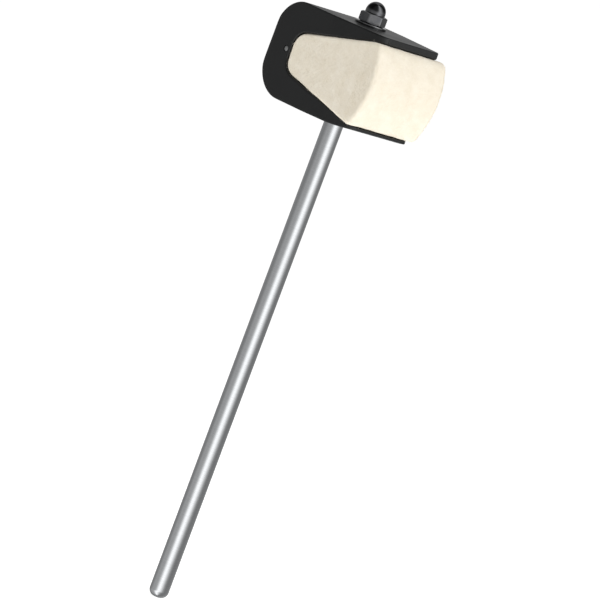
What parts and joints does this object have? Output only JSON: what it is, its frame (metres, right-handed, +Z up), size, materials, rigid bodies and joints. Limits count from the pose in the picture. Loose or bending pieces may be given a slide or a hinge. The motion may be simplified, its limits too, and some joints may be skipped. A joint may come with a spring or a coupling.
{
  "type": "bass drum beater",
  "caption": "Bass drum pedal beater: a felt wedge in a moulded C-shaped hood on a plated rod, held by a cap nut, for clamping in a pedal hub.",
  "frame": {"origin": "on the rod's axis, where its full-diameter wall starts above the rounded lower tip", "axes": "+Z up the rod towards the head, +X across the head's width, -Y the way the felt strikes"},
  "size_m": [0.0396, 0.0642, 0.2543],
  "materials": {
    "plated_rod": "chrome plated steel rod",
    "zinc_steel": "zinc plated steel",
    "black_abs": "satin black moulded ABS",
    "wool_felt": "pressed natural wool felt",
    "black_nickel": "polished black nickel plate"
  },
  "bodies": {
    "shaft": {"beater_shaft": "plated_rod", "seat_washer": "zinc_steel"},
    "head": {"hood": "black_abs", "felt_block": "wool_felt", "spacer_sleeve": "zinc_steel", "cross_pin": "zinc_steel"},
    "washer": {"flat_washer": "black_nickel"},
    "nut": {"cap_nut": "black_nickel"}
  },
  "joints": [
    {"name": "head_swivel", "type": "hinge", "parent": "shaft", "child": "head", "pos_m": [0, 0, 0.2211], "axis": [0, 0, 1], "continuous": true},
    {"name": "nut_lift", "type": "slide", "parent": "shaft", "child": "washer", "axis": [0, 0, 1], "range_m": [0, 0.002]},
    {"name": "nut_turn", "type": "hinge", "parent": "washer", "child": "nut", "pos_m": [0, 0, 0.2421], "axis": [0, 0, 1], "range_deg": [0, 720]}
  ],
  "couplings": [
    {"joint": "nut_turn", "follows": "nut_lift", "rad_per_m": 6283.2}
  ]
}
